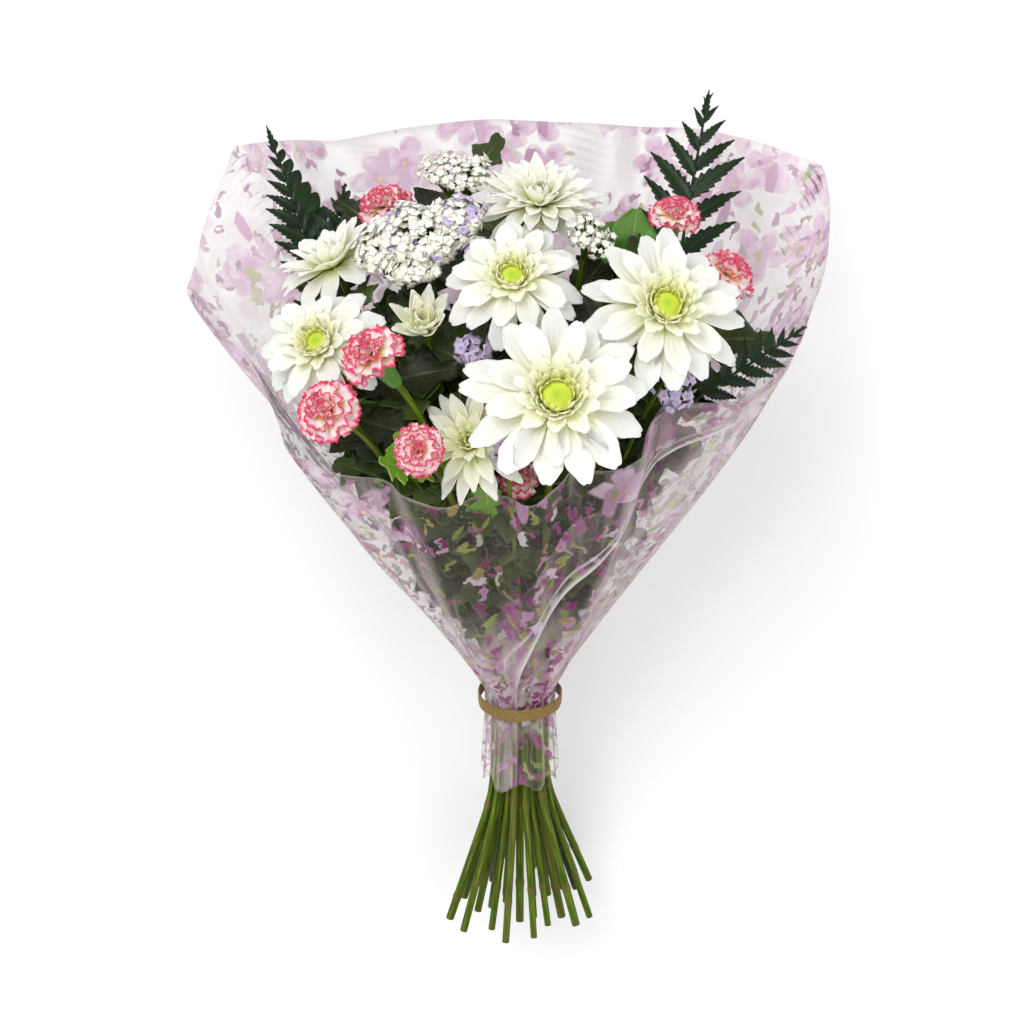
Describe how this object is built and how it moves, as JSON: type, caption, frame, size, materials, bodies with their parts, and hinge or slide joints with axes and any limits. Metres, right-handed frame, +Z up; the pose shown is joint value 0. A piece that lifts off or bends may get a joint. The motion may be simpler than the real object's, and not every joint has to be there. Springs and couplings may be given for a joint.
{
  "type": "mixed flower bouquet",
  "caption": "Hand-tied mixed flower bouquet in a printed clear film cone with a rubber band, laid on its back; decorative cut flowers for a table, bench or shop bucket scene.",
  "frame": {"origin": "middle of the footprint, on the surface that the laid bouquet rests on", "axes": "+Y along the bouquet from the cut stems to the flowers, +Z up from the surface, +X to the bouquet's right as its face is seen"},
  "size_m": [0.3116, 0.434, 0.2408],
  "materials": {
    "petal_white": "soft satin fresh petal",
    "mum_eye": "matt packed florets",
    "stem_green": "waxy fresh stem and leaf",
    "carnation_pink": "soft matt frilled petal",
    "fern_green": "leathery satin frond",
    "filler_white": "dry papery floret",
    "filler_lilac": "dry papery floret",
    "leaf_green": "fresh satin leaf",
    "film": "clear glossy film with a pale printed blossom pattern",
    "rubber": "flat tan rubber, slightly dusty"
  },
  "bodies": {
    "root": {"carnation_back_left_petals": "carnation_pink", "carnation_back_left_stem": "stem_green", "carnation_back_right_petals": "carnation_pink", "carnation_back_right_stem": "stem_green", "carnation_hidden_petals": "carnation_pink", "carnation_hidden_stem": "stem_green", "carnation_leaning_petals": "carnation_pink", "carnation_leaning_stem": "stem_green", "carnation_left_petals": "carnation_pink", "carnation_left_stem": "stem_green", "carnation_low_petals": "carnation_pink", "carnation_low_stem": "stem_green", "carnation_right_petals": "carnation_pink", "carnation_right_stem": "stem_green", "fern_left": "fern_green", "fern_low_right": "fern_green", "fern_middle_left": "fern_green", "fern_right": "fern_green", "filler_buds_florets": "filler_white", "filler_buds_stem": "leaf_green", "filler_round_florets": "filler_white", "filler_round_stem": "leaf_green", "leafy_front": "leaf_green", "leafy_left": "leaf_green", "leafy_right": "leaf_green", "mum_back_eye": "mum_eye", "mum_back_petals": "petal_white", "mum_back_stem": "stem_green", "mum_bud_petals": "petal_white", "mum_bud_stem": "stem_green", "mum_front_eye": "mum_eye", "mum_front_petals": "petal_white", "mum_front_stem": "stem_green", "mum_left_high_eye": "mum_eye", "mum_left_high_petals": "petal_white", "mum_left_high_stem": "stem_green", "mum_left_low_eye": "mum_eye", "mum_left_low_petals": "petal_white", "mum_left_low_stem": "stem_green", "mum_middle_eye": "mum_eye", "mum_middle_petals": "petal_white", "mum_middle_stem": "stem_green", "mum_right_eye": "mum_eye", "mum_right_petals": "petal_white", "mum_right_stem": "stem_green", "mum_spider_petals": "petal_white", "mum_spider_stem": "stem_green", "rubber_band": "rubber", "statice_lilac_front_florets": "filler_lilac", "statice_lilac_front_stem": "leaf_green", "statice_lilac_middle_florets": "filler_lilac", "statice_lilac_middle_stem": "leaf_green", "statice_lilac_right_florets": "filler_lilac", "statice_lilac_right_stem": "leaf_green", "statice_white_florets": "filler_white", "statice_white_stem": "leaf_green", "wrapper": "film"}
  },
  "joints": []
}
